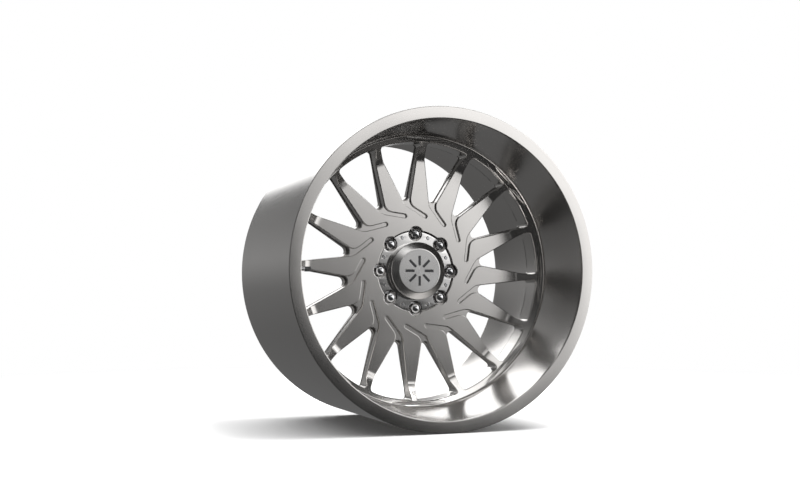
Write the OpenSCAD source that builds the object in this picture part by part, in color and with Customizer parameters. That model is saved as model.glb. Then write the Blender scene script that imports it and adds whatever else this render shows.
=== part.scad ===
// Deep-dish forged road wheel: a sixteen-blade forged centre in a plain-walled barrel,
// with a screwed hub flange, a pull-out cap, eight lug nuts and a bolt-in valve.
// The wheel's axis is Y and its front faces -Y. Each piece is drawn with its axis on Z
// and its front upwards, and upright() stands it in place.

/* [Barrel] */
// Outer radius of the lip and the drum
rim_r = 347.7; // [320:0.1:420]
// Overall width, lip face to rear edge
rim_w = 446; // [370:1:540]
// Width of the flat ring on the front of the lip
lip_face_w = 26.7; // [18:0.1:32]
// Depth of the dish, lip face to the seam with the centre
dish_depth = 154.4; // [120:0.1:186]
// Radial step from the lip's inner edge down to the seam
dish_taper = 16.4; // [10:0.1:24]
// Height of the slow curve in the dish wall
dish_bulge = 4; // [1:0.1:6]
// Thickness of the shoulder that the centre seats behind
shoulder_t = 8; // [5:0.5:12]
// Width of the shoulder, bore to seat
shoulder_w = 13.3; // [8:0.1:18]
// Depth of the turned relief in the rear wall
relief_depth = 12; // [4:0.5:16]
// Width of the broken edge round the lip and the rear opening
edge_break = 1.5; // [0.5:0.1:3]

/* [Centre] */
// Number of blades
blades = 16; // [12:1:18]
// Depth of the hub's face behind the lip face
face_depth = 191.2; // [160:0.1:226]
// Thickness of the blades at the hub
blade_t = 50; // [40:0.5:60]
// Thickness of the blades at the ring
tip_t = 46; // [34:0.5:56]
// Width of the ring outside the windows
ring_w = 12.5; // [8:0.1:18]
// Where the flat face starts to sweep up, inside the seam
sweep_w = 54; // [30:0.5:70]
// Depth of the grooves and the pockets at the windows' inner ends
groove_depth = 5; // [2:0.1:8]
// Width of the grooves
groove_w = 8; // [5:0.1:10]
// Radius at which a groove ends
groove_end_r = 127.8; // [118:0.1:140]
// Corner radius at the windows' outer ends
window_corner_r = 7; // [3:0.1:9]
// Depth of the windows' upper, straight wall below the face
upper_wall_t = 24; // [14:0.5:30]
// Width of the ledge on the blades' side walls
ledge_w = 3.5; // [1:0.1:5]

/* [Hub] */
// Bolt circle's diameter
bolt_circle = 170; // [150:0.1:190]
// Number of lug nuts
lugs = 8; // [6:1:8]
// Radius of the stud holes
stud_hole_r = 8; // [7:0.1:9]
// Radius of the hub bore
hub_bore_r = 62.5; // [56:0.1:64]
// Radius of the mounting pad at the back
pad_r = 112; // [106:0.5:120]
// Thickness of the hub, face to pad
hub_t = 56; // [50:0.5:66]
// Depth of the pocket for the hub flange
pocket_depth = 10; // [7:0.5:12]
// Radius of the wells round the lug nuts
well_r = 16.5; // [15.5:0.1:18]

/* [Cap] */
// Radius of the cap's raised boss
cap_r = 65; // [60:0.1:66]
// Radius of the cap's flat top
cap_top_r = 50; // [46:0.1:56]
// Height of the cap's top above the hub's face
cap_rise = 23; // [14:0.5:30]
// Radius of the cap's spigot
spigot_r = 55.8; // [50:0.1:56]
// Thickness of the hub flange
flange_t = 4; // [3:0.5:5]
// Radius at which the flange's screws lie
screw_circle_r = 82; // [78:0.1:84]

/* [Lug nuts] */
// Width across the nut's flats
nut_af = 22; // [20:0.1:23]
// Height of the nut's dome above its washer
nut_h = 23; // [18:0.5:28]
// Thread's radius at its crests
thread_r = 6.2; // [5.6:0.1:6.6]

/* [Valve] */
// Radius of the valve hole
valve_hole_r = 5.75; // [5:0.05:7]
// Distance of the valve behind the lip face
valve_depth = 113; // [80:1:125]
// Thickness of the barrel's wall at the valve
valve_wall = 11; // [6:0.5:14]
// Length of the stem inside the dish
stem_l = 40; // [30:1:50]

/* [Hidden] */
$fn = 96;

// Running clearance of anything that turns or slides
run_gap = 0.05;
// Clearance between faces that meet on moving pieces
face_gap = 0.15;
// Overrun of a cut past the face that it starts from
cut = 1;

// Heights along the axis, with the wheel's middle at 0 and its front at the top
lip_z = rim_w / 2;
seam_z = lip_z - dish_depth;
face_z = lip_z - face_depth;
back_z = face_z - blade_t;
pad_z = face_z - hub_t;
pocket_z = face_z - pocket_depth;

// Radii, from the lip inwards
lip_in_r = rim_r - lip_face_w;
seam_r = lip_in_r - dish_taper;
seat_r = seam_r + shoulder_w;
window_r = seam_r - ring_w;
sweep_r = seam_r - sweep_w;
pad_slope = 3;
back_land = 2;
// Step from the centre's edge up to the dish wall
seam_step = 2.4;

// The face sweeps up from the flat to the seam on one arc
sweep_rise = seam_z - face_z;
sweep_arc_r = (sweep_w * sweep_w + sweep_rise * sweep_rise) / (2 * sweep_rise);
shoulder_z = seam_z - shoulder_t;
ring_back_z = face_z + sweep_arc_r - sqrt(sweep_arc_r * sweep_arc_r - pow(window_r - sweep_r, 2)) - tip_t;

// The rear wall's relief, between the weld and the rear opening
weld_leg = 8;
weld_land = 4;
rear_land = 14;
relief_slope = 16;
relief_top_z = ring_back_z - weld_leg - weld_land;
relief_low_z = -lip_z + rear_land;

// A point at a radius and at an angle clockwise from the top
function polar(r, a) = [r * sin(a), r * cos(a)];
function unit(v) = v / norm(v);
function turn90(v) = [-v[1], v[0]];

// Corners of an outline, each [point, radius], rounded by tangent arcs
function corner_arc(before, at, after, r, steps) =
    let (
        u = unit(before - at),
        v = unit(after - at),
        half = acos(u * v) / 2,
        reach = r / tan(half),
        mid = at + unit(u + v) * (r / sin(half)),
        start = at + u * reach - mid,
        sweep = (180 - 2 * half) * (u[0] * v[1] - u[1] * v[0] > 0 ? -1 : 1)
    )
    [for (i = [0 : steps]) let (a = sweep * i / steps)
        mid + [start[0] * cos(a) - start[1] * sin(a), start[0] * sin(a) + start[1] * cos(a)]];
function rounded(corners, steps = 6) =
    let (n = len(corners))
    [for (i = [0 : n - 1]) let (c = corners[i])
        each c[1] == 0 ? [c[0]]
            : corner_arc(corners[(i + n - 1) % n][0], c[0], corners[(i + 1) % n][0], c[1], steps)];

// Where two lines cross, each through a point and along a direction
function crossing(p, u, q, v) =
    p + u * (((q - p)[0] * v[1] - (q - p)[1] * v[0]) / (u[0] * v[1] - u[1] * v[0]));

// Outline of one window: its outer corners, as angles from the blade on its right
pitch_a = 360 / blades;
right_a = 1.4;
left_a = right_a - pitch_a + 2.1;
// Where the window's two sides would reach the hub
side_root_right = [-15.6, 152.6];
side_root_left = [-26.3, 149.6];
// The groove runs from the pocket to its end at this slope
groove_a = 10.4;
groove_dir = [cos(30), -sin(30)];
groove_end = polar(groove_end_r, groove_a);

window_right = polar(window_r, right_a);
window_left = polar(window_r, left_a);
arc_steps = 6;
// Step from a pocket's wall to the window's, all round the window's mouth
mouth_step = 0.4;
// Radius at the windows' inner ends, and where the groove leaves the pocket
inner_r = 12;
bend_right_r = 22;
bend_left_r = 30;
function outer_arc(r) = [for (i = [1 : arc_steps - 1])
    [polar(r, left_a + (right_a - left_a) * i / arc_steps), 0]];

// Sides moved inwards by in_r and in_l, and meeting at the window's inner end
function window_outline(in_r, in_l, in_out, inner_r) =
    let (
        u = unit(side_root_right - window_right),
        v = unit(side_root_left - window_left),
        right_p = window_right + turn90(u) * -in_r + u * in_out,
        left_p = window_left + turn90(v) * in_l + v * in_out,
        inner = crossing(right_p, u, left_p, v)
    )
    rounded(concat(
        [[right_p, window_corner_r], [inner, inner_r], [left_p, window_corner_r]],
        outer_arc(window_r - in_out)
    ));

// The pocket's outline takes in the window and the hooked groove
groove_side = turn90(groove_dir) * groove_w / 2;
groove_tip = groove_end + groove_dir * groove_w / 2;
bend_right = crossing(window_right, side_root_right - window_right, groove_tip + groove_side, groove_dir);
bend_left = crossing(window_left, side_root_left - window_left, groove_tip - groove_side, groove_dir);
pocket_outline = rounded(concat(
    [
        [window_right, window_corner_r],
        [bend_right, bend_right_r],
        [groove_tip + groove_side, groove_w * 0.49],
        [groove_tip - groove_side, groove_w * 0.49],
        [bend_left, bend_left_r],
        [window_left, window_corner_r]
    ],
    outer_arc(window_r)
));

// Lug nut and washer, from the seat upwards
lug_r = bolt_circle / 2;
well_depth = 10;
well_z = pocket_z - well_depth;
lighten_r = 13;
lighten_depth = 12;
seat_a = 30;
seat_mouth_r = 13;
seat_low_z = well_z - (seat_mouth_r - stud_hole_r) / tan(seat_a);
washer_lift = 3;
washer_low_z = seat_low_z + washer_lift;
washer_rim_t = 1.5;
washer_top_z = well_z + washer_rim_t;
washer_bore_r = 9;
nut_top_z = washer_top_z + nut_h;
nut_round_r = nut_af / 2 + 0.4;
nut_crown_r = nut_af / 2 - 0.3;
nut_dome_r = 14;
nut_collar_h = 3.5;
nut_crown_t = 7;
stem_low_z = washer_low_z + 0.5;

// Hub flange and cap
pocket_r = lug_r + 7;
flange_gap = 0.3;
gasket_t = 0.8;
flange_low_z = pocket_z + gasket_t;
flange_top_z = flange_low_z + flange_t;
cap_top_z = face_z + cap_rise;
cap_low_z = flange_top_z + face_gap;
cap_wall = 4;
cap_chamfer_h = 9;
cap_face_t = 2;
cap_face_r = cap_top_r - 2;
cap_face_inset = 0.2;
cap_mark_t = 0.6;
mark_top_z = cap_top_z - cap_face_inset;
mark_bars = 8;
mark_bar_w = 6;
mark_bar_l = 22;
mark_bar_from = 12;
spigot_l = 13;
spigot_low_z = pocket_z - spigot_l;
spigot_chamfer = 0.5;
ledge_z = spigot_low_z - 1;
snap_z = pocket_z - 8;
snap_wire_r = 1;
o_ring_z = pocket_z - 3.5;
o_ring_r = 1.1;
screw_r = 2.5;
screw_head_r = 4.4;
screw_head_h = 2.6;
screw_l = 12;
screw_socket_r = 1.7;
screw_socket_depth = 1.8;

// Valve, along its own axis: 0 is the spot face in the dish, and up is into the dish
valve_z = lip_z - valve_depth;
dish_fraction = valve_depth / dish_depth;
spot_r = lip_in_r - dish_taper * dish_fraction + dish_bulge + 1;
spot_face_r = 10;
head_r = 9;
head_t = 4;
grommet_t = 3;
head_well_r = 12;
stem_r = 4.4;
bore_r = 2.6;
pin_r = 0.7;
washer_t = 1.5;
valve_nut_r = 7;
valve_nut_t = 6;
valve_low_z = -valve_wall - grommet_t - head_t;
core_top_z = stem_l - 2;
core_l = 6;
pin_low_z = stem_l - 20;
pin_stand = 0.8;
pin_foot_r = 2.2;
pin_foot_t = 1.5;
coils = 5;
coil_pitch = 2;
coil_r = 1.7;
wire_r = 0.35;
cap_l = 14;
cap_out_r = 5.4;
cap_above = 4;
flutes = 12;
flute_r = 0.6;

// Stands a piece up: its axis goes to Y and its front to -Y
module upright() {
    rotate([90, 0, 0])
    children();
}

// Puts a valve piece on the dish wall, at the side
module at_valve() {
    upright()
    translate([-spot_r, 0, valve_z])
    rotate([0, 90, 0])
    children();
}

module tube(r_out, r_in, low, high) {
    difference() {
        translate([0, 0, low]) cylinder(r = r_out, h = high - low);
        translate([0, 0, low - cut]) cylinder(r = r_in, h = high - low + 2 * cut);
    }
}

module ring_of(count, r, first = 0) {
    for (i = [0 : count - 1])
        rotate([0, 0, -first - i * 360 / count])
        translate([0, r, 0])
        children();
}

// Barrel's section, right of the axis
module barrel_section() {
    chord = [seam_r + seam_step - lip_in_r, seam_z + seam_step - lip_z];
    span = norm(chord);
    bulge_arc_r = (span * span / 4 + dish_bulge * dish_bulge) / (2 * dish_bulge);
    arc_mid = [lip_in_r, lip_z] + chord / 2 + turn90(unit(chord)) * -(bulge_arc_r - dish_bulge);
    difference() {
        polygon([
            [lip_in_r, lip_z],
            [rim_r - edge_break, lip_z],
            [rim_r, lip_z - edge_break],
            [rim_r, -lip_z + edge_break],
            [rim_r - edge_break, -lip_z],
            [seat_r + edge_break, -lip_z],
            [seat_r, -lip_z + edge_break],
            [seat_r, relief_low_z],
            [seat_r + relief_depth, relief_low_z + 3 * relief_slope],
            [seat_r + relief_depth, relief_top_z - relief_slope],
            [seat_r, relief_top_z],
            [seat_r, shoulder_z],
            [seam_r, shoulder_z],
            [seam_r, seam_z],
            [seam_r + seam_step, seam_z + seam_step]
        ]);
        translate(arc_mid) circle(r = bulge_arc_r, $fn = 180);
    }
}

module barrel() {
    color("gainsboro")
    difference() {
        upright() rotate_extrude($fn = 180) barrel_section();
        at_valve() {
            translate([0, 0, -lip_face_w * 2]) cylinder(r = valve_hole_r, h = lip_face_w * 3);
            translate([0, 0, -valve_wall - rim_r / 4]) cylinder(r = head_well_r, h = rim_r / 4);
            cylinder(r = spot_face_r, h = 2 * spot_face_r);
        }
    }
}

// Centre's section, up to a height below its face by lower
module centre_section(lower) {
    difference() {
        polygon([
            [spigot_r + run_gap, pad_z],
            [pad_r, pad_z],
            [pad_r + pad_slope, back_z],
            [window_r + back_land, ring_back_z],
            [seat_r, ring_back_z],
            [seat_r, shoulder_z],
            [seam_r - face_gap, shoulder_z],
            [seam_r - face_gap, seam_z],
            [sweep_r, seam_z],
            [sweep_r, face_z - lower],
            [spigot_r + run_gap, face_z - lower]
        ]);
        intersection() {
            translate([sweep_r, face_z + sweep_arc_r - lower]) circle(r = sweep_arc_r, $fn = 180);
            translate([sweep_r - cut, face_z - lower]) square([sweep_w + cut, 2 * sweep_rise]);
        }
    }
}

// Cuts along the axis from low to high, once a blade
module cut_all(outline, low, high) {
    for (i = [0 : blades - 1])
        rotate([0, 0, -i * pitch_a])
        translate([0, 0, low])
        linear_extrude(height = high - low)
        polygon(outline);
}

module hub_pocket() {
    translate([0, 0, pocket_z]) cylinder(r = pocket_r, h = cap_rise + pocket_depth);
    ring_of(lugs, lug_r) translate([0, 0, well_z]) cylinder(r = well_r, h = cap_rise + pocket_depth * 2);
}

module stud_holes() {
    ring_of(lugs, lug_r) {
        translate([0, 0, pad_z - cut]) cylinder(r = stud_hole_r, h = hub_t);
        translate([0, 0, seat_low_z])
            cylinder(r1 = stud_hole_r, r2 = seat_mouth_r, h = well_z - seat_low_z);
    }
}

module wheel_centre() {
    crease_z = face_z - upper_wall_t;
    top = seam_z + cut;
    color("silver")
    upright()
    difference() {
        rotate_extrude($fn = 180) centre_section(0);
        // grooves and pockets, held a constant depth below the swept face
        difference() {
            cut_all(pocket_outline, face_z - groove_depth, top);
            rotate_extrude($fn = 180) centre_section(groove_depth);
        }
        cut_all(window_outline(mouth_step, mouth_step, mouth_step, inner_r), crease_z, top);
        cut_all(window_outline(ledge_w, ledge_w / 2, 2 * mouth_step, inner_r), pad_z, crease_z + cut);
        hub_pocket();
        stud_holes();
        // hub bore, and the groove for the cap's snap ring
        translate([0, 0, pad_z - cut]) cylinder(r = hub_bore_r, h = ledge_z - pad_z + cut);
        translate([0, 0, snap_z])
            rotate_extrude()
            translate([spigot_r + snap_wire_r / 2, 0])
            circle(r = snap_wire_r + 0.1, $fn = 24);
        ring_of(lugs, screw_circle_r, 180 / lugs)
            translate([0, 0, pocket_z - screw_l]) cylinder(r = screw_r, h = screw_l + cut);
        // lightening pockets in the mounting pad
        ring_of(lugs, lug_r, 180 / lugs)
            translate([0, 0, pad_z - cut]) cylinder(r = lighten_r, h = lighten_depth + cut);
    }
}

module weld_bead() {
    color("darkgray")
    upright()
    rotate_extrude($fn = 180)
    polygon([[seat_r, ring_back_z], [seat_r - weld_leg, ring_back_z], [seat_r, ring_back_z - weld_leg]]);
}

// Plate between the lug wells, with a hole for each screw
module hub_plate(low, high, hole_r) {
    difference() {
        tube(pocket_r - flange_gap, spigot_r + run_gap, low, high);
        ring_of(lugs, lug_r) translate([0, 0, low - cut]) cylinder(r = well_r, h = high - low + 2 * cut);
        ring_of(lugs, screw_circle_r, 180 / lugs)
            translate([0, 0, low - cut]) cylinder(r = hole_r, h = high - low + 2 * cut);
    }
}

module hub_flange() {
    color("whitesmoke") upright() hub_plate(flange_low_z, flange_top_z, screw_r + face_gap);
}

module flange_gasket() {
    color("dimgray") upright() hub_plate(pocket_z, flange_low_z, screw_r + face_gap);
}

module flange_screws() {
    color("lightgray")
    upright()
    ring_of(lugs, screw_circle_r, 180 / lugs)
    difference() {
        union() {
            translate([0, 0, pocket_z - screw_l + 1]) cylinder(r = screw_r, h = screw_l + flange_t);
            translate([0, 0, flange_top_z])
                cylinder(r1 = screw_head_r, r2 = screw_head_r * 0.7, h = screw_head_h);
        }
        // hexagon socket
        translate([0, 0, flange_top_z + screw_head_h - screw_socket_depth])
            cylinder(r = screw_socket_r, h = screw_socket_depth + cut, $fn = 6);
    }
}

module cap_body() {
    color("lightsteelblue")
    upright()
    difference() {
        rotate_extrude()
        polygon([
            [spigot_r - cap_wall, spigot_low_z],
            [spigot_r - spigot_chamfer, spigot_low_z],
            [spigot_r, spigot_low_z + 2 * spigot_chamfer],
            [spigot_r, cap_low_z],
            [cap_r, cap_low_z],
            [cap_r, cap_top_z - cap_chamfer_h],
            [cap_top_r, cap_top_z],
            [cap_face_r, cap_top_z],
            [cap_face_r, cap_top_z - cap_face_t],
            [0, cap_top_z - cap_face_t],
            [0, cap_top_z - cap_face_t - cap_wall],
            [spigot_r - cap_wall, cap_top_z - cap_face_t - cap_wall]
        ]);
        // grooves for the snap ring and the sealing ring
        translate([0, 0, snap_z]) rotate_extrude() translate([spigot_r, 0]) circle(r = snap_wire_r, $fn = 24);
        tube(spigot_r + cut, spigot_r - 2 * o_ring_r - face_gap, o_ring_z - o_ring_r, o_ring_z + o_ring_r);
    }
}

module mark_bar(low, high) {
    ring_of(mark_bars, 0)
        translate([-mark_bar_w / 2, mark_bar_from, low]) cube([mark_bar_w, mark_bar_l, high - low]);
}

module cap_face() {
    color("gray")
    upright()
    difference() {
        translate([0, 0, cap_top_z - cap_face_t]) cylinder(r = cap_face_r, h = cap_face_t - cap_face_inset);
        mark_bar(mark_top_z - cap_mark_t, cap_top_z + cut);
    }
}

module cap_mark() {
    color("black") upright() mark_bar(mark_top_z - cap_mark_t, mark_top_z);
}

module cap_o_ring() {
    color("black")
    upright()
    translate([0, 0, o_ring_z])
    rotate_extrude() translate([spigot_r - o_ring_r, 0]) circle(r = o_ring_r, $fn = 24);
}

// Split wire ring that holds the cap in
module cap_snap_ring() {
    color("silver")
    upright()
    translate([0, 0, snap_z])
    rotate_extrude(angle = 350) translate([spigot_r, 0]) circle(r = snap_wire_r, $fn = 24);
}

module lug_place(i) {
    upright() rotate([0, 0, -(i - 1) * 360 / lugs]) translate([0, lug_r, 0]) children();
}

// Conical washer that stays on the nut, and seats in the well
module lug_washer(i) {
    low_r = stud_hole_r + (washer_low_z - seat_low_z) * tan(seat_a) - face_gap;
    color("lightgray")
    lug_place(i)
    difference() {
        rotate_extrude()
            polygon([
                [0, washer_low_z],
                [low_r, washer_low_z],
                [seat_mouth_r - face_gap, well_z],
                [seat_mouth_r - face_gap, washer_top_z],
                [0, washer_top_z]
            ]);
        translate([0, 0, washer_low_z - cut])
            cylinder(r = washer_bore_r, h = washer_top_z - washer_low_z + 2 * cut);
    }
}

// Closed nut: a domed hexagon on a plain stem
module lug_nut(i) {
    color("whitesmoke")
    lug_place(i)
    difference() {
        union() {
            translate([0, 0, stem_low_z])
                cylinder(r = washer_bore_r - run_gap, h = washer_top_z - stem_low_z + nut_collar_h);
            // collar, and the hexagon above it with its corners turned off
            translate([0, 0, washer_top_z + face_gap]) cylinder(r = nut_round_r, h = nut_collar_h);
            intersection() {
                translate([0, 0, washer_top_z + face_gap])
                    cylinder(r = nut_af / 2 / cos(30), h = nut_h, $fn = 6);
                translate([0, 0, washer_top_z]) cylinder(r = nut_round_r, h = nut_h - nut_dome_r + face_gap);
            }
            intersection() {
                translate([0, 0, nut_top_z - nut_dome_r]) cylinder(r = nut_crown_r, h = nut_dome_r + cut);
                translate([0, 0, nut_top_z - nut_dome_r]) sphere(r = nut_dome_r);
            }
        }
        translate([0, 0, stem_low_z - cut])
            cylinder(r = thread_r, h = nut_top_z - nut_crown_t - stem_low_z + cut);
    }
}

module valve_body() {
    color("silver")
    at_valve()
    difference() {
        union() {
            translate([0, 0, valve_low_z]) cylinder(r = head_r, h = head_t);
            translate([0, 0, valve_low_z + head_t / 2])
                cylinder(r = stem_r, h = stem_l - valve_low_z - head_t / 2);
        }
        translate([0, 0, valve_low_z - cut]) cylinder(r = bore_r, h = 2 * stem_l);
    }
}

// Rubber seal: a disc under the head, and a sleeve in the hole
module valve_grommet() {
    color("black")
    at_valve() {
        tube(head_r, stem_r, -valve_wall - grommet_t, -valve_wall);
        tube(valve_hole_r, stem_r, -valve_wall, -1);
    }
}

module valve_washer() {
    color("lightgray") at_valve() tube(head_r, stem_r, 0, washer_t);
}

module valve_nut() {
    color("silver")
    at_valve()
    difference() {
        translate([0, 0, washer_t]) cylinder(r = valve_nut_r, h = valve_nut_t, $fn = 6);
        translate([0, 0, washer_t - cut]) cylinder(r = stem_r, h = valve_nut_t + 2 * cut);
    }
}

module valve_core() {
    color("gold") at_valve() tube(bore_r, pin_r + run_gap, core_top_z - core_l, core_top_z);
}

// Coil of the valve's spring, between the core and the pin's foot
module valve_spring() {
    color("silver")
    at_valve()
    for (i = [0 : coils - 1])
        translate([0, 0, core_top_z - core_l - cut - i * coil_pitch])
        rotate_extrude()
        translate([coil_r, 0])
        circle(r = wire_r, $fn = 16);
}

module valve_pin() {
    color("goldenrod")
    at_valve() {
        translate([0, 0, pin_low_z - pin_foot_t / 2])
            cylinder(r = pin_r, h = core_top_z + pin_stand - pin_low_z + pin_foot_t / 2);
        translate([0, 0, pin_low_z - pin_foot_t]) cylinder(r = pin_foot_r, h = pin_foot_t);
    }
}

module valve_cap() {
    color("dimgray")
    at_valve()
    difference() {
        union() {
            translate([0, 0, stem_l + cap_above - cap_l]) cylinder(r = cap_out_r, h = cap_l - 1);
            translate([0, 0, stem_l + cap_above - 2])
                cylinder(r1 = cap_out_r - 0.5, r2 = cap_out_r - 1.5, h = 2);
        }
        translate([0, 0, stem_l - cap_l]) cylinder(r = stem_r + run_gap, h = cap_l + 1);
        // grip flutes
        ring_of(flutes, cap_out_r + 0.2)
            translate([0, 0, stem_l - cap_l]) cylinder(r = flute_r, h = cap_l * 2, $fn = 24);
    }
}

module valve_cap_seal() {
    color("black") at_valve() tube(stem_r - 0.2, 2, stem_l + face_gap, stem_l + 1);
}

barrel();
wheel_centre();
weld_bead();
hub_flange();
flange_gasket();
flange_screws();
cap_body();
cap_face();
cap_mark();
cap_o_ring();
cap_snap_ring();
for (i = [1 : lugs]) lug_washer(i);
for (i = [1 : lugs]) lug_nut(i);
valve_body();
valve_grommet();
valve_washer();
valve_nut();
valve_core();
valve_spring();
valve_pin();
valve_cap();
valve_cap_seal();
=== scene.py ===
import math
import bpy
import bmesh
from mathutils import Matrix, Vector


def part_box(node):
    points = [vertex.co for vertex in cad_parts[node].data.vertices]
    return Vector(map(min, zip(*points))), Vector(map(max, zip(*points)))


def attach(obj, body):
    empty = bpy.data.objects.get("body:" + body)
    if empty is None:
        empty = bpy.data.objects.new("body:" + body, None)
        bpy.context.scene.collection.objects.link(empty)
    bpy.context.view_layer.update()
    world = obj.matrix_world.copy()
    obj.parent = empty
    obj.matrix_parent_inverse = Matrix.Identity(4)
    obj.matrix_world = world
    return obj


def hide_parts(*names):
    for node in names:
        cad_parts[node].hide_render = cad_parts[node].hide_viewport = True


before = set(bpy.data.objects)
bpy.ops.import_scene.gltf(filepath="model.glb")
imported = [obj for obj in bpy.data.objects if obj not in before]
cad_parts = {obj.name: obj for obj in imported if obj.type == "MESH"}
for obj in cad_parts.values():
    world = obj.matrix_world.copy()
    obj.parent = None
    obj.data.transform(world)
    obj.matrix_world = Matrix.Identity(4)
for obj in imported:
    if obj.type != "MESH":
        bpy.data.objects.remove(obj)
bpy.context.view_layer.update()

# ---------------------------------------------------------------- sizes, in metres
MM = 0.001
barrel_low, barrel_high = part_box("barrel")
RIM_R = barrel_high.x
LIP_H = -barrel_low.y
CENTRE_LOW, CENTRE_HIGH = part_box("wheel_centre")
SEAM_H = -CENTRE_LOW.y
PAD_H = -CENTRE_HIGH.y
LIP_FACE_W = 26.7 * MM
LIP_IN_R = RIM_R - LIP_FACE_W
DISH_TAPER = 16.4 * MM
SEAM_R = LIP_IN_R - DISH_TAPER
SEAT_R = CENTRE_HIGH.x
FACE_DEPTH = 191.2 * MM
FACE_H = LIP_H - FACE_DEPTH
BLADE_T = 50 * MM
BACK_H = FACE_H - BLADE_T
RING_W = 12.5 * MM
WINDOW_R = SEAM_R - RING_W
RING_BACK_H = FACE_H - 20.1 * MM
SWEEP_W = 54 * MM
SWEEP_R = SEAM_R - SWEEP_W
SWEEP_RISE = SEAM_H - FACE_H
SWEEP_BEND_R = 25 * MM
SWEEP_SLOPE = math.radians(39.2)
SWEEP_CUTS = 21
SWEEP_LEAD = 14 * MM
GROOVE_DEPTH = 5 * MM
GROOVE_W = 8 * MM
UPPER_WALL_T = 24 * MM
CREASE_H = FACE_H - UPPER_WALL_T
LEDGE_W = 2 * MM
POCKET_DEPTH = 10 * MM
POCKET_H = FACE_H - POCKET_DEPTH
WELL_DEPTH = 10 * MM
WELL_H = POCKET_H - WELL_DEPTH
BLADES = 16
PITCH = 360 / BLADES
LUGS = 8
LUG_PITCH = 360 / LUGS
LUG_R = 85 * MM
WELL_R = 16.5 * MM
STUD_R = 8 * MM
STUD_SEAT_W = 5 * MM
SCREW_CIRCLE_R = 82 * MM
SCREW_R = 2.65 * MM
SCREW_CORE_R = 2.5 * MM
HUB_BORE_R = 62.5 * MM
SPIGOT_R = 55.85 * MM
POCKET_R = 92 * MM
PAD_R = 112 * MM
LIGHTEN_R = 13 * MM


# ---------------------------------------------------------------- outlines
def polar(radius, degrees):
    """A point in the front view, at an angle clockwise from the top."""
    a = math.radians(degrees)
    return Vector((radius * math.sin(a), radius * math.cos(a)))


def rounded(corners, steps=8):
    """Points of a closed outline whose corners, each (point, radius), are tangent arcs."""
    out = []
    for i, (at, radius) in enumerate(corners):
        if radius == 0:
            out.append(at)
            continue
        u = (corners[i - 1][0] - at).normalized()
        v = (corners[(i + 1) % len(corners)][0] - at).normalized()
        half = u.angle(v) / 2
        mid = at + (u + v).normalized() * (radius / math.sin(half))
        start = at + u * (radius / math.tan(half)) - mid
        sweep = (math.pi - 2 * half) * (-1 if u.x * v.y - u.y * v.x > 0 else 1)
        for k in range(steps + 1):
            a = sweep * k / steps
            c, s = math.cos(a), math.sin(a)
            out.append(mid + Vector((start.x * c - start.y * s, start.x * s + start.y * c)))
    return out


def crossing(p, u, q, v):
    """Where the line through p along u meets the line through q along v."""
    w = q - p
    return p + u * ((w.x * v.y - w.y * v.x) / (u.x * v.y - u.y * v.x))


RIGHT_A = 1.4
LEFT_A = RIGHT_A - PITCH + 2.1
WINDOW_RIGHT = polar(WINDOW_R, RIGHT_A)
WINDOW_LEFT = polar(WINDOW_R, LEFT_A)
ROOT_RIGHT = Vector((-15.6, 152.6)) * MM
ROOT_LEFT = Vector((-26.3, 149.6)) * MM
BLADE_A = 2.5
GROOVE_A = math.radians(30)
GROOVE_DIR = Vector((math.cos(GROOVE_A), -math.sin(GROOVE_A)))
GROOVE_TIP = polar(127.8 * MM, 10.4) + GROOVE_DIR * GROOVE_W / 2
CORNER_R = 7 * MM
INNER_R = 12 * MM
BEND_RIGHT_R = 22 * MM
BEND_LEFT_R = 30 * MM
OUTER_ARC = [(polar(WINDOW_R, LEFT_A + (RIGHT_A - LEFT_A) * i / 12), 0) for i in range(2, 11)]


def window_outline(in_right, in_left):
    """A window between two blades, with its straight sides moved in by so much."""
    u = (ROOT_RIGHT - WINDOW_RIGHT).normalized()
    v = (ROOT_LEFT - WINDOW_LEFT).normalized()
    right = WINDOW_RIGHT + Vector((u.y, -u.x)) * in_right
    left = WINDOW_LEFT + Vector((-v.y, v.x)) * in_left
    inner = crossing(right, u, left, v)
    return rounded([(right, CORNER_R), (inner, INNER_R), (left, CORNER_R)] + OUTER_ARC)


def pocket_outline():
    """The pocket round a window's front, which ends inwards in a hooked groove."""
    side = Vector((-GROOVE_DIR.y, GROOVE_DIR.x)) * GROOVE_W / 2
    bend_right = crossing(WINDOW_RIGHT, ROOT_RIGHT - WINDOW_RIGHT, GROOVE_TIP + side, GROOVE_DIR)
    bend_left = crossing(WINDOW_LEFT, ROOT_LEFT - WINDOW_LEFT, GROOVE_TIP - side, GROOVE_DIR)
    return rounded([
        (WINDOW_RIGHT, CORNER_R),
        (bend_right, BEND_RIGHT_R),
        (GROOVE_TIP + side, GROOVE_W * 0.49),
        (GROOVE_TIP - side, GROOVE_W * 0.49),
        (bend_left, BEND_LEFT_R),
        (WINDOW_LEFT, CORNER_R),
    ] + OUTER_ARC)


def scalloped(radius, lobe_r, outward):
    """A circle with a lobe at each lug, bulging outwards or cut inwards."""
    half = math.degrees(math.acos((radius ** 2 + LUG_R ** 2 - lobe_r ** 2) / (2 * radius * LUG_R)))
    lobe_steps, gap_steps = 14, 8
    out = []
    for k in range(LUGS):
        turn = LUG_PITCH * k
        lug = polar(LUG_R, turn)
        a = polar(radius, turn - half) - lug
        b = polar(radius, turn + half) - lug
        a0, b0 = math.atan2(a.x, a.y), math.atan2(b.x, b.y)
        t = math.radians(turn)
        if outward:
            a0 = t - (t - a0) % math.tau
            b0 = t + (b0 - t) % math.tau
        else:
            a0 = t + math.pi + (a0 - t - math.pi) % math.tau
            b0 = t + math.pi - (t + math.pi - b0) % math.tau
        out += [lug + Vector((math.sin(x), math.cos(x))) * lobe_r
                for x in (a0 + (b0 - a0) * i / lobe_steps for i in range(lobe_steps + 1))]
        out += [polar(radius, turn + half + (LUG_PITCH - 2 * half) * i / gap_steps)
                for i in range(1, gap_steps)]
    return out


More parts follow.
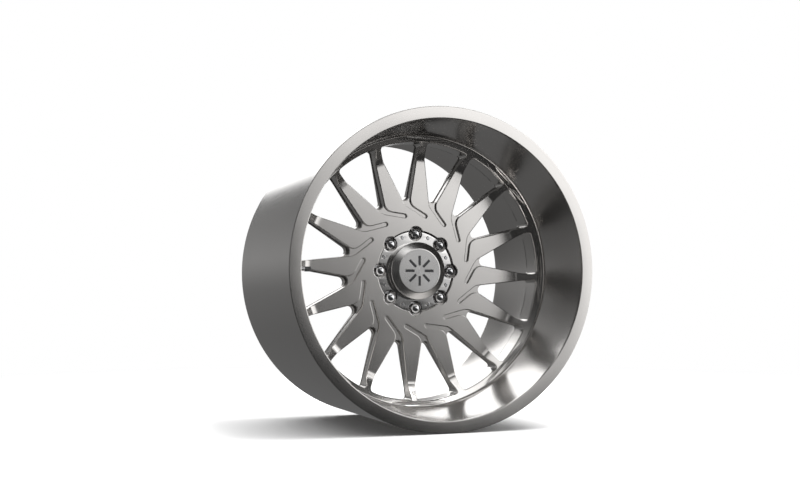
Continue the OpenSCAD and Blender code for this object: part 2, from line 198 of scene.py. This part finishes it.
# ---------------------------------------------------------------- modelling
def only(obj):
    bpy.ops.object.select_all(action="DESELECT")
    obj.select_set(True)
    bpy.context.view_layer.objects.active = obj


def joined(objs, name):
    bpy.ops.object.select_all(action="DESELECT")
    for o in objs:
        o.select_set(True)
    bpy.context.view_layer.objects.active = objs[0]
    bpy.ops.object.join()
    out = bpy.context.object
    out.name = out.data.name = name
    return out


def edit(obj, select="SELECT"):
    only(obj)
    bpy.ops.object.mode_set(mode="EDIT")
    bpy.ops.mesh.select_all(action=select)


def traced(points, upright=False):
    """A closed line of edges, drawn by extruding one vertex from point to point."""
    path = [Vector((p[0], 0, p[1])) if upright else Vector((p[0], p[1], 0)) for p in points]
    bpy.ops.object.select_all(action="DESELECT")
    bpy.ops.mesh.primitive_plane_add(size=MM, location=(0, 0, 0))
    line = bpy.context.object
    edit(line)
    bpy.ops.mesh.merge(type="CENTER")
    bpy.ops.transform.translate(value=path[0])
    for a, b in zip(path, path[1:]):
        bpy.ops.mesh.extrude_region_move(TRANSFORM_OT_translate={"value": b - a})
    bpy.ops.mesh.select_all(action="DESELECT")
    mesh = bmesh.from_edit_mesh(line.data)
    mesh.verts.ensure_lookup_table()
    mesh.verts[0].select_set(True)
    mesh.verts[-1].select_set(True)
    bpy.ops.mesh.edge_face_add()
    bpy.ops.object.mode_set(mode="OBJECT")
    return line


def ringed(obj, count):
    """Copies what is drawn round the wheel's axis, count in all."""
    edit(obj)
    for _ in range(count - 1):
        bpy.ops.mesh.duplicate()
        bpy.ops.transform.rotate(value=math.tau / count, orient_axis="Z", center_override=(0, 0, 0))
    bpy.ops.object.mode_set(mode="OBJECT")
    return obj


def round_line(radius, count=192, at=(0, 0)):
    bpy.ops.object.select_all(action="DESELECT")
    bpy.ops.mesh.primitive_circle_add(vertices=count, radius=radius, location=(at[0], at[1], 0))
    bpy.ops.object.transform_apply(location=True)
    return bpy.context.object


def stand(obj):
    """Turns what was drawn flat, front up, so that its front faces -Y."""
    obj.data.transform(Matrix.Rotation(math.radians(90), 4, "X"))
    return obj


def smooth(obj, degrees=35):
    """Rounded edges catch the light, and the flats beside them stay flat."""
    only(obj)
    bpy.ops.object.shade_smooth_by_angle(angle=math.radians(degrees))
    bpy.ops.object.modifier_add(type="WEIGHTED_NORMAL")
    obj.modifiers[-1].keep_sharp = True
    obj.modifiers[-1].weight = 100
    bpy.ops.object.modifier_apply(modifier=obj.modifiers[-1].name)
    return obj


def plate(name, lines, low, high, edge=0.0):
    """A flat plate with holes, filled between closed lines, with its edges rounded by edge."""
    drawn = joined(lines, name)
    bpy.ops.object.convert(target="CURVE")
    drawn = bpy.context.object
    drawn.data.dimensions = "2D"
    drawn.data.fill_mode = "BOTH"
    drawn.data.extrude = (high - low) / 2 - edge
    drawn.data.bevel_depth = edge
    drawn.data.bevel_resolution = 2
    drawn.data.offset = -edge
    bpy.ops.object.convert(target="MESH")
    drawn = bpy.context.object
    drawn.data.transform(Matrix.Translation((0, 0, (low + high) / 2)))
    edit(drawn)
    bpy.ops.mesh.remove_doubles(threshold=1e-6)
    bpy.ops.mesh.normals_make_consistent(inside=False)
    bpy.ops.object.mode_set(mode="OBJECT")
    return drawn


def revolved(name, profile, steps=192, angle=35):
    """A turned piece: its section, in radius and height, spun round the wheel's axis."""
    ring = traced(profile, upright=True)
    ring.name = ring.data.name = name
    edit(ring)
    bpy.ops.mesh.spin(steps=steps, angle=math.tau, center=(0, 0, 0), axis=(0, 0, 1))
    bpy.ops.mesh.select_all(action="SELECT")
    bpy.ops.mesh.remove_doubles(threshold=1e-6)
    bpy.ops.mesh.normals_make_consistent(inside=False)
    bpy.ops.object.mode_set(mode="OBJECT")
    return smooth(stand(ring), angle)


def arc(start, end, bulge, steps=12):
    """Points of a shallow arc between two section points, bulging left of the way it runs."""
    s, e = Vector(start), Vector(end)
    n = Vector((s.y - e.y, e.x - s.x)).normalized()
    return [s.lerp(e, i / steps) + n * bulge * (1 - (2 * i / steps - 1) ** 2) for i in range(steps + 1)]


# ---------------------------------------------------------------- the swept face
def rise(radius):
    """How far the face has swept forward at a radius: a bend, and then a cone up to the seam."""
    reach = min(max(radius - SWEEP_R, 0), SWEEP_W)
    bend = SWEEP_BEND_R * math.sin(SWEEP_SLOPE)
    if reach < bend:
        return SWEEP_BEND_R - math.sqrt(SWEEP_BEND_R ** 2 - reach ** 2)
    return SWEEP_RISE - (SWEEP_W - reach) * math.tan(SWEEP_SLOPE)


def wedge(obj):
    """Keeps an eighth of what is drawn, two blades wide."""
    edit(obj)
    for side, a in ((-1, -PITCH / 2), (1, PITCH * 1.5)):
        n = polar(side, a + 90)
        bpy.ops.mesh.select_all(action="SELECT")
        bpy.ops.mesh.bisect(plane_co=(0, 0, 0), plane_no=(n.x, n.y, 0), clear_outer=True)
    bpy.ops.object.mode_set(mode="OBJECT")


def cut_for_sweep(obj):
    """Cuts each blade's outer part across, so that it can follow the sweep."""
    edit(obj)
    for k in range(2):
        n = polar(1, PITCH * k + BLADE_A)
        for i in range(SWEEP_CUTS):
            level = SWEEP_R - SWEEP_LEAD + (SWEEP_W + SWEEP_LEAD) * i / SWEEP_CUTS
            bpy.ops.mesh.select_all(action="DESELECT")
            mesh = bmesh.from_edit_mesh(obj.data)
            for f in mesh.faces:
                c = f.calc_center_median()
                reach = [v.co.x * n.x + v.co.y * n.y for v in f.verts]
                side = math.degrees(math.atan2(c.x, c.y)) > PITCH / 2
                if side == (k == 1) and min(reach) < level < max(reach):
                    f.select_set(True)
            bmesh.update_edit_mesh(obj.data)
            bpy.ops.mesh.bisect(plane_co=(n.x * level, n.y * level, 0), plane_no=(n.x, n.y, 0))
    bpy.ops.object.mode_set(mode="OBJECT")


def sweep(obj):
    """Moves a plate's outer part forward, whole at the face and not at all at the crease."""
    floor_h = FACE_H - GROOVE_DEPTH
    for v in obj.data.vertices:
        r = math.hypot(v.co.x, v.co.y)
        share = min(max((v.co.z - CREASE_H) / (floor_h - CREASE_H), 0), 1)
        v.co.z += rise(r) * share
    return obj


def taper_back(obj):
    """Raises a plate's back towards the ring."""
    for v in obj.data.vertices:
        r = math.hypot(v.co.x, v.co.y)
        share = min(max((r - PAD_R) / (WINDOW_R - PAD_R), 0), 1)
        low = min(max((CREASE_H - v.co.z) / (CREASE_H - BACK_H), 0), 1)
        v.co.z += share * low * (RING_BACK_H - BACK_H)
    return obj


def all_round(outline):
    return ringed(traced(outline), BLADES)


def lug_circles(radius, first=0.0, circle_r=LUG_R):
    return ringed(round_line(radius, 48, polar(circle_r, first)), LUGS)


def wheel_centre():
    """Six plates, from the face to the pad, cut down to an eighth, swept and copied round."""
    upper = window_outline(0, 0)
    lower = window_outline(LEDGE_W, LEDGE_W / 2)
    seam_gap = 0.15 * MM
    lap = 0.02 * MM
    pad_lap = 2 * MM
    face_edge, back_edge, pad_edge = 1.7 * MM, 1.6 * MM, 0.8 * MM

    def outer():
        return round_line(SEAM_R - seam_gap, 256)

    def bore():
        return round_line(SPIGOT_R)

    def hub_pocket():
        return traced(scalloped(POCKET_R, WELL_R, True))

    face = plate("face", [outer(), hub_pocket(), all_round(pocket_outline())],
                 FACE_H - GROOVE_DEPTH - lap, FACE_H, face_edge)
    floor = plate("floor", [outer(), hub_pocket(), all_round(upper)], POCKET_H, FACE_H - GROOVE_DEPTH)
    # the washer seats in the mouth, and the nut stands in the well
    wells = plate("wells", [outer(), bore(), all_round(upper), lug_circles(WELL_R),
                            lug_circles(SCREW_CORE_R, LUG_PITCH / 2, SCREW_CIRCLE_R)], WELL_H, POCKET_H + lap)
    mid = plate("mid", [outer(), bore(), all_round(upper), lug_circles(STUD_R + STUD_SEAT_W)],
                CREASE_H, WELL_H + lap)
    back = plate("back", [outer(), round_line(HUB_BORE_R), all_round(lower), lug_circles(STUD_R)],
                 BACK_H, CREASE_H + lap, back_edge)
    pad = plate("pad", [round_line(PAD_R), round_line(HUB_BORE_R), lug_circles(STUD_R),
                        lug_circles(LIGHTEN_R, LUG_PITCH / 2)], PAD_H, BACK_H + pad_lap, pad_edge)
    whole = joined([face, floor, wells, mid, back, pad], "centre_forging")
    wedge(whole)
    cut_for_sweep(whole)
    sweep(whole)
    taper_back(whole)
    ringed(whole, LUGS)
    edit(whole)
    bpy.ops.mesh.remove_doubles(threshold=5e-6)
    bpy.ops.object.mode_set(mode="OBJECT")
    return smooth(stand(whole), 14)


def barrel():
    """Lip, dish wall, shoulder and drum in one turned section, with its outer corners broken."""
    edge, soft = 2 * MM, 0.6 * MM
    rear = -LIP_H
    shoulder_h = SEAM_H - 8 * MM
    relief_r = SEAT_R + 12 * MM
    foot = 2.4 * MM
    bulge = 4 * MM
    rear_land, rear_slope_end = 14 * MM, 62 * MM
    weld_land, front_slope_end = 12 * MM, 38 * MM
    dish = arc((SEAM_R + foot, SEAM_H + foot), (LIP_IN_R, LIP_H - edge), -bulge, 24)
    section = [(SEAM_R, shoulder_h), (SEAM_R, SEAM_H - soft), (SEAM_R + soft, SEAM_H)] + dish
    section += [(LIP_IN_R + soft, LIP_H - 0.5 * MM), (LIP_IN_R + edge, LIP_H)]
    section += [(RIM_R - edge, LIP_H), (RIM_R - soft, LIP_H - soft), (RIM_R, LIP_H - edge)]
    section += [(RIM_R, rear + edge), (RIM_R - soft, rear + soft), (RIM_R - edge, rear)]
    section += [(SEAT_R + edge, rear), (SEAT_R + soft, rear + soft), (SEAT_R, rear + edge)]
    section += [(SEAT_R, rear + rear_land), (relief_r, rear + rear_slope_end)]
    section += [(relief_r, RING_BACK_H - front_slope_end)]
    section += [(SEAT_R, RING_BACK_H - weld_land), (SEAT_R, shoulder_h)]
    return revolved("barrel_shell", section, 256)


def hub_flange():
    """The bright plate in the hub's pocket, cut away round each nut."""
    low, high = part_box("hub_flange")
    outline = traced(scalloped(high.x, WELL_R, False))
    holes = lug_circles(SCREW_R, LUG_PITCH / 2, SCREW_CIRCLE_R)
    edge = 0.6 * MM
    flange = plate("flange_plate", [outline, round_line(SPIGOT_R), holes], -high.y, -low.y, edge)
    return smooth(stand(flange), 40)


def cap_body():
    """The cap's turned body: a hollow spigot, a rim on the flange, and a wide chamfer up to the face."""
    low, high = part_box("cap_body")
    top, foot, rim = -low.y, -high.y, high.x
    rim_low = -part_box("hub_flange")[0].y + 0.15 * MM
    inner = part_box("cap_face")[1].x
    spigot = SPIGOT_R - 0.05 * MM
    hollow_r = SPIGOT_R - 4 * MM
    hollow_top, recess = top - 6 * MM, top - 2 * MM
    section = [(0, hollow_top), (hollow_r, hollow_top), (hollow_r, foot)]
    section += [(SPIGOT_R - 0.6 * MM, foot), (spigot, foot + MM), (spigot, rim_low)]
    section += [(rim - 0.5 * MM, rim_low), (rim, rim_low + 0.5 * MM)]
    section += [(rim, top - 9.7 * MM), (rim - 0.3 * MM, top - 9.1 * MM), (rim - 0.9 * MM, top - 8.4 * MM)]
    section += [(inner + 2.9 * MM, top - 0.7 * MM), (inner + 2.3 * MM, top - 0.2 * MM)]
    section += [(inner + 1.6 * MM, top), (inner + 0.4 * MM, top), (inner, top - 0.4 * MM)]
    section += [(inner, recess), (0, recess)]
    return revolved("cap_shell", section, 192)


def lug_nut():
    """The nut at the top, drawn round its own axis and then moved out to its place."""
    low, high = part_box("lug_nut_1")
    top, foot = -low.y, -high.y
    collar_low = -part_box("lug_washer_1")[0].y + 0.15 * MM
    collar_top = collar_low + 3.5 * MM
    bore_r, stem_r, collar_r = 6.2 * MM, 8.95 * MM, 11.4 * MM
    bore_top = top - 7 * MM
    flat_to_flat = 22 * MM
    crown_r, dome_h = 12.7 * MM, 9 * MM
    stem = revolved("stem", [(bore_r, foot), (stem_r, foot), (stem_r, collar_low),
                             (collar_r - 0.3 * MM, collar_low), (collar_r, collar_low + 0.3 * MM),
                             (collar_r, collar_top - 0.4 * MM), (collar_r - 0.4 * MM, collar_top),
                             (0, collar_top), (0, bore_top), (bore_r, bore_top)], 48)
    crown_low = collar_low + 3 * MM
    dome = [(crown_r * math.sin(a), top - dome_h + dome_h * math.cos(a))
            for a in (math.pi / 2 * i / 8 for i in range(9))]
    crown = revolved("crown", [(0, crown_low), (crown_r, crown_low)] + dome[::-1], 48)
    edit(crown)
    for k in range(6):
        a = math.radians(60 * k)
        n = Vector((math.sin(a), 0, math.cos(a)))
        bpy.ops.mesh.select_all(action="SELECT")
        bpy.ops.mesh.bisect(plane_co=n * flat_to_flat / 2, plane_no=n, clear_outer=True, use_fill=True)
    bpy.ops.mesh.select_all(action="SELECT")
    bpy.ops.mesh.remove_doubles(threshold=1e-5)
    bpy.ops.mesh.normals_make_consistent(inside=False)
    bpy.ops.object.mode_set(mode="OBJECT")
    only(crown)
    bpy.ops.object.modifier_add(type="BEVEL")
    crown.modifiers[-1].width = 0.35 * MM
    crown.modifiers[-1].segments = 2
    crown.modifiers[-1].limit_method = "ANGLE"
    crown.modifiers[-1].angle_limit = math.radians(28)
    bpy.ops.object.modifier_apply(modifier=crown.modifiers[-1].name)
    nut = joined([stem, crown], "nut_1")
    nut.data.transform(Matrix.Translation((0, 0, LUG_R)))
    return smooth(nut, 35)


def round_the_hub(obj, k):
    """A copy of what stands at the top, with its own mesh, turned to another lug."""
    only(obj)
    bpy.ops.object.duplicate()
    copy = bpy.context.object
    copy.data.transform(Matrix.Rotation(math.radians(LUG_PITCH * k), 4, "Y"))
    return copy


# ---------------------------------------------------------------- stage
def maths(tree, operation, a, b=None, c=None):
    """A Math node on numbers or on other nodes' values."""
    node = tree.nodes.new("ShaderNodeMath")
    node.operation = operation
    for socket, value in zip(node.inputs, (a, b, c)):
        if value is None:
            continue
        if isinstance(value, (int, float)):
            socket.default_value = value
        else:
            tree.links.new(value, socket)
    return node.outputs[0]


def eased(tree, value, low, high):
    """Nothing below low, whole above high, and a soft step between."""
    node = tree.nodes.new("ShaderNodeMapRange")
    node.interpolation_type = "SMOOTHSTEP"
    node.inputs["From Min"].default_value = low
    node.inputs["From Max"].default_value = high
    tree.links.new(value, node.inputs["Value"])
    return node.outputs[0]


# the room's brightness from straight down, 0, to straight up, 1
FLOOR_LIGHT = 0.16
ROOM = [(0.40, 0.14), (0.48, 0.18), (0.53, 0.33), (0.65, 0.17), (0.8, 0.45), (0.9, 1.6), (1.0, 2.2)]
FRONT_DIMMED = 0.72
PANEL_ACROSS = (0.536, 0.222, 0.81)
PANEL_LIGHT = 2.0
WHITE_FROM, WHITE_WHOLE = 0.7, 2.2
CAMERA_AT = (-2.631, -6.289, -0.182)
CAMERA_AIM = (-0.3147, 0, 0.1104)


def pale_floor():
    """Pale paper that is lit like the rest near the wheel, and fades to plain white far from it."""
    mat = bpy.data.materials.new("pale_floor")
    mat.use_nodes = True
    tree = mat.node_tree
    shader = tree.nodes["Principled BSDF"]
    shader.inputs["Base Color"].default_value = (0.95, 0.95, 0.95, 1)
    shader.inputs["Roughness"].default_value = 0.8
    white = tree.nodes.new("ShaderNodeEmission")
    mix = tree.nodes.new("ShaderNodeMixShader")
    coord = tree.nodes.new("ShaderNodeTexCoord")
    length = tree.nodes.new("ShaderNodeVectorMath")
    length.operation = "LENGTH"
    tree.links.new(coord.outputs["Object"], length.inputs[0])
    tree.links.new(eased(tree, length.outputs["Value"], WHITE_FROM, WHITE_WHOLE), mix.inputs[0])
    tree.links.new(shader.outputs[0], mix.inputs[1])
    tree.links.new(white.outputs[0], mix.inputs[2])
    tree.links.new(mix.outputs[0], tree.nodes["Material Output"].inputs["Surface"])
    return mat


def stage():
    bpy.ops.mesh.primitive_plane_add(size=30, location=(0, 0, -RIM_R))
    floor = bpy.context.object
    floor.name = "floor"
    bpy.ops.object.transform_apply(location=True)
    floor.data.materials.append(pale_floor())
    floor.visible_glossy = False


def studio():
    """A white backdrop for the camera, and a softer room, with a panel at the upper right, for the metal."""
    world = bpy.data.worlds.new("studio")
    bpy.context.scene.world = world
    world.use_nodes = True
    tree = world.node_tree
    tree.nodes.clear()
    out = tree.nodes.new("ShaderNodeOutputWorld")
    mix = tree.nodes.new("ShaderNodeMixShader")
    path = tree.nodes.new("ShaderNodeLightPath")
    white = tree.nodes.new("ShaderNodeBackground")
    white.inputs["Color"].default_value = (1, 1, 1, 1)
    soft = tree.nodes.new("ShaderNodeBackground")
    coord = tree.nodes.new("ShaderNodeTexCoord")
    split = tree.nodes.new("ShaderNodeSeparateXYZ")
    tree.links.new(coord.outputs["Generated"], split.inputs[0])
    height = tree.nodes.new("ShaderNodeMapRange")
    height.inputs["From Min"].default_value = -1
    tree.links.new(split.outputs["Z"], height.inputs["Value"])
    ramp = tree.nodes.new("ShaderNodeValToRGB")
    tree.links.new(height.outputs[0], ramp.inputs[0])
    ramp.color_ramp.elements.remove(ramp.color_ramp.elements[1])
    ramp.color_ramp.elements[0].color = (FLOOR_LIGHT, FLOOR_LIGHT, FLOOR_LIGHT, 1)
    for place, value in ROOM:
        ramp.color_ramp.elements.new(place).color = (value, value, value, 1)
    tree.links.new(ramp.outputs[0], soft.inputs["Color"])
    # a large panel at the upper right of the front, with a slanting lower left edge
    side = tree.nodes.new("ShaderNodeVectorMath")
    side.operation = "DOT_PRODUCT"
    side.inputs[1].default_value = PANEL_ACROSS
    tree.links.new(coord.outputs["Generated"], side.inputs[0])
    panel = eased(tree, side.outputs["Value"], -0.03, 0.085)
    front = eased(tree, maths(tree, "MULTIPLY", split.outputs["Y"], -1), 0.1, 0.5)
    # the front is dim up to the overhead light, and the panel stands well below it
    under = maths(tree, "SUBTRACT", 1, eased(tree, split.outputs["Z"], 0.45, 0.7))
    dimmed = maths(tree, "MULTIPLY", maths(tree, "MULTIPLY", front, under), FRONT_DIMMED)
    room = maths(tree, "SUBTRACT", 1, dimmed)
    low_part = maths(tree, "SUBTRACT", 1, eased(tree, split.outputs["Z"], 0.28, 0.42))
    panel = maths(tree, "MULTIPLY", panel, low_part)
    lit = maths(tree, "MULTIPLY", maths(tree, "MULTIPLY", front, panel), PANEL_LIGHT)
    glow = tree.nodes.new("ShaderNodeBackground")
    tree.links.new(lit, glow.inputs["Strength"])
    tree.links.new(room, soft.inputs["Strength"])
    both = tree.nodes.new("ShaderNodeAddShader")
    tree.links.new(soft.outputs[0], both.inputs[0])
    tree.links.new(glow.outputs[0], both.inputs[1])
    tree.links.new(path.outputs["Is Camera Ray"], mix.inputs[0])
    tree.links.new(both.outputs[0], mix.inputs[1])
    tree.links.new(white.outputs[0], mix.inputs[2])
    tree.links.new(mix.outputs[0], out.inputs[0])


def light(name, place, size, power):
    """A soft lamp that faces the wheel and isn't seen itself."""
    bpy.ops.object.light_add(type="AREA", location=place)
    lamp = bpy.context.object
    lamp.name = name
    lamp.data.shape = "RECTANGLE"
    lamp.data.size, lamp.data.size_y = size
    lamp.data.energy = power
    lamp.visible_camera = False
    lamp.rotation_euler = (-Vector(place)).to_track_quat("-Z", "Y").to_euler()


def camera():
    """Seen from the left and a little below, at places measured in lip radii."""
    cam = bpy.data.cameras.new("camera")
    obj = bpy.data.objects.new("camera", cam)
    bpy.context.scene.collection.objects.link(obj)
    lip_centre = Vector((0, -LIP_H, 0))
    obj.location = lip_centre + Vector(CAMERA_AT) * RIM_R
    aim = lip_centre + Vector(CAMERA_AIM) * RIM_R
    obj.rotation_euler = (aim - obj.location).to_track_quat("-Z", "Y").to_euler()
    cam.lens = 50.3
    cam.sensor_width = 36
    bpy.context.scene.camera = obj


# ---------------------------------------------------------------- materials
def group(name, ins, outs):
    tree = bpy.data.node_groups.new(name, "ShaderNodeTree")
    for label, value in ins:
        tree.interface.new_socket(label, in_out="INPUT", socket_type="NodeSocketFloat").default_value = value
    for label in outs:
        tree.interface.new_socket(label, in_out="OUTPUT", socket_type="NodeSocketFloat")
    return tree, tree.nodes.new("NodeGroupInput"), tree.nodes.new("NodeGroupOutput")


def turned_grain():
    """Fine rings left by a lathe round the wheel's axis, and how they wander in depth."""
    tree, given, out = group("turned_grain", [("Rings per metre", 1800), ("Wander", 0.35), ("Depth", 0.5)],
                             ["Height", "Tone"])
    coord = tree.nodes.new("ShaderNodeTexCoord")
    split = tree.nodes.new("ShaderNodeSeparateXYZ")
    tree.links.new(coord.outputs["Object"], split.inputs[0])
    x, y, z = split.outputs
    radius = maths(tree, "SQRT", maths(tree, "MULTIPLY_ADD", x, x, maths(tree, "MULTIPLY", z, z)))
    turn = maths(tree, "ARCTAN2", x, z)
    place = tree.nodes.new("ShaderNodeCombineXYZ")
    tree.links.new(maths(tree, "MULTIPLY", radius, given.outputs["Rings per metre"]), place.inputs[0])
    tree.links.new(maths(tree, "MULTIPLY", y, given.outputs["Rings per metre"]), place.inputs[1])
    tree.links.new(maths(tree, "MULTIPLY", turn, given.outputs["Wander"]), place.inputs[2])
    noise = tree.nodes.new("ShaderNodeTexNoise")
    noise.inputs["Scale"].default_value = 1
    noise.inputs["Detail"].default_value = 3
    tree.links.new(place.outputs[0], noise.inputs["Vector"])
    centred = maths(tree, "SUBTRACT", noise.outputs["Fac"], 0.5)
    tree.links.new(maths(tree, "MULTIPLY", centred, given.outputs["Depth"]), out.inputs["Height"])
    tree.links.new(noise.outputs["Fac"], out.inputs["Tone"])
    return tree


def fine_texture():
    """Blasted or milled texture, with slow cloudiness over it."""
    tree, given, out = group("fine_texture", [("Scale", 1500), ("Cloud scale", 9), ("Depth", 0.5)],
                             ["Height", "Tone", "Cloud"])
    coord = tree.nodes.new("ShaderNodeTexCoord")
    small = tree.nodes.new("ShaderNodeTexNoise")
    small.inputs["Detail"].default_value = 2
    tree.links.new(coord.outputs["Object"], small.inputs["Vector"])
    tree.links.new(given.outputs["Scale"], small.inputs["Scale"])
    cloud = tree.nodes.new("ShaderNodeTexNoise")
    cloud.inputs["Detail"].default_value = 4
    tree.links.new(coord.outputs["Object"], cloud.inputs["Vector"])
    tree.links.new(given.outputs["Cloud scale"], cloud.inputs["Scale"])
    centred = maths(tree, "SUBTRACT", small.outputs["Fac"], 0.5)
    tree.links.new(maths(tree, "MULTIPLY", centred, given.outputs["Depth"]), out.inputs["Height"])
    tree.links.new(small.outputs["Fac"], out.inputs["Tone"])
    tree.links.new(cloud.outputs["Fac"], out.inputs["Cloud"])
    return tree


GRAIN = turned_grain()
TEXTURE = fine_texture()


def finish(name, colour, rough, metallic=1.0, texture=(1500, 0.15), rings=None, aniso=0.0,
           vary=0.06, rough_vary=0.08, coat=0.0, bump=0.00001):
    """A finish: its tone and gloss drift slowly, under a fine texture and, where turned, lathe rings."""
    mat = bpy.data.materials.new(name)
    mat.use_nodes = True
    tree = mat.node_tree
    shader = tree.nodes["Principled BSDF"]
    shader.inputs["Metallic"].default_value = metallic
    shader.inputs["Coat Weight"].default_value = coat
    shader.inputs["Coat Roughness"].default_value = 0.08
    fine = tree.nodes.new("ShaderNodeGroup")
    fine.node_tree = TEXTURE
    fine.inputs["Scale"].default_value = texture[0]
    fine.inputs["Depth"].default_value = texture[1]
    height, tone = fine.outputs["Height"], fine.outputs["Tone"]
    if rings:
        lathe = tree.nodes.new("ShaderNodeGroup")
        lathe.node_tree = GRAIN
        lathe.inputs["Rings per metre"].default_value = rings[0]
        lathe.inputs["Depth"].default_value = rings[1]
        height = maths(tree, "ADD", height, lathe.outputs["Height"])
        tone = lathe.outputs["Tone"]
    if aniso:
        tangent = tree.nodes.new("ShaderNodeTangent")
        tangent.direction_type = "RADIAL"
        tangent.axis = "Y"
        tree.links.new(tangent.outputs[0], shader.inputs["Tangent"])
        shader.inputs["Anisotropic"].default_value = aniso
    ramp = tree.nodes.new("ShaderNodeMix")
    ramp.data_type = "RGBA"
    ramp.inputs["A"].default_value = tuple(c * (1 - vary) for c in colour) + (1,)
    ramp.inputs["B"].default_value = tuple(min(c * (1 + vary), 1) for c in colour) + (1,)
    tree.links.new(maths(tree, "MULTIPLY_ADD", tone, 0.5, 0.25), ramp.inputs["Factor"])
    tree.links.new(ramp.outputs["Result"], shader.inputs["Base Color"])
    gloss = tree.nodes.new("ShaderNodeMapRange")
    gloss.inputs["From Min"].default_value = 0.3
    gloss.inputs["From Max"].default_value = 0.7
    gloss.inputs["To Min"].default_value = rough * (1 - rough_vary)
    gloss.inputs["To Max"].default_value = rough * (1 + rough_vary)
    tree.links.new(fine.outputs["Cloud"], gloss.inputs["Value"])
    tree.links.new(gloss.outputs[0], shader.inputs["Roughness"])
    relief = tree.nodes.new("ShaderNodeBump")
    relief.inputs["Strength"].default_value = 1
    relief.inputs["Distance"].default_value = bump
    tree.links.new(height, relief.inputs["Height"])
    tree.links.new(relief.outputs[0], shader.inputs["Normal"])
    return mat


def paint(obj, mat):
    """Gives all of a piece one material."""
    obj.data.materials.clear()
    obj.data.materials.append(mat)
    for p in obj.data.polygons:
        p.material_index = 0


stage()
studio()
camera()
light("key", (3.0, -2.6, 2.0), (2.4, 2.0), 20)
light("top", (1.2, -0.3, 3.2), (2.2, 2.2), 130)
light("back", (0.6, 1.9, 0.95), (2.0, 1.3), 16)

GREY = (0.56, 0.545, 0.53)
finishes = {
    "barrel": finish("brushed_barrel", GREY, 0.2, rings=(1100, 0.22), texture=(1500, 0.05), aniso=0.6),
    "centre": finish("satin_forging", GREY, 0.21, texture=(1400, 0.15)),
    "polished": finish("polished_flange", (0.74, 0.73, 0.72), 0.10, rings=(1200, 0.15), rough_vary=0.2),
    "cap": finish("turned_cap", (0.62, 0.61, 0.60), 0.20, rings=(1600, 0.4), aniso=0.5),
    "cap_satin": finish("satin_cap_face", (0.50, 0.495, 0.49), 0.26, rings=(2400, 0.6), aniso=0.6),
    "chrome": finish("nut_chrome", (0.62, 0.62, 0.63), 0.09, texture=(400, 0.1), vary=0.02, rough_vary=0.3),
    "steel": finish("zinc_steel", (0.55, 0.55, 0.56), 0.32, texture=(900, 0.5)),
    "black": finish("black_inlay", (0.018, 0.018, 0.02), 0.35, metallic=0.0, texture=(1200, 0.4), coat=0.3),
    "rubber": finish("black_rubber", (0.025, 0.025, 0.026), 0.6, metallic=0.0, texture=(2500, 1.0), vary=0.2),
    "brass": finish("valve_brass", (0.62, 0.46, 0.22), 0.28, texture=(1200, 0.3)),
    "spring": finish("spring_wire", (0.45, 0.45, 0.46), 0.3, texture=(2000, 0.4)),
    "weld": finish("weld_metal", (0.40, 0.39, 0.38), 0.42, texture=(260, 3.0), bump=0.0001),
    "plastic": finish("valve_cap_plastic", (0.05, 0.05, 0.052), 0.45, metallic=0.0, texture=(1600, 0.5)),
}


def placed(piece, node, body, look):
    """Puts a finished piece in its CAD node's place, on its body."""
    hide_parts(node)
    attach(piece, body)
    paint(piece, finishes[look])


placed(barrel(), "barrel", "rim", "barrel")
placed(wheel_centre(), "wheel_centre", "rim", "centre")
placed(hub_flange(), "hub_flange", "rim", "polished")
placed(cap_body(), "cap_body", "cap", "cap")
first_nut = lug_nut()
for lug in range(1, LUGS):
    nut = round_the_hub(first_nut, lug)
    nut.name = nut.data.name = f"nut_{lug + 1}"
    placed(nut, f"lug_nut_{lug + 1}", f"lug_nut_{lug + 1}", "chrome")
placed(first_nut, "lug_nut_1", "lug_nut_1", "chrome")

LOOKS = {
    "weld_bead": "weld", "flange_gasket": "rubber", "flange_screws": "chrome", "cap_face": "cap_satin",
    "cap_mark": "black", "cap_o_ring": "rubber", "cap_snap_ring": "spring", "valve_body": "steel",
    "valve_grommet": "rubber", "valve_washer": "steel", "valve_nut": "steel", "valve_core": "brass",
    "valve_spring": "spring", "valve_pin": "brass", "valve_cap": "plastic", "valve_cap_seal": "rubber",
}
for node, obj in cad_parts.items():
    look = "steel" if node.startswith("lug_washer") else LOOKS.get(node)
    if look:
        paint(obj, finishes[look])

bpy.context.scene.view_settings.view_transform = "Standard"
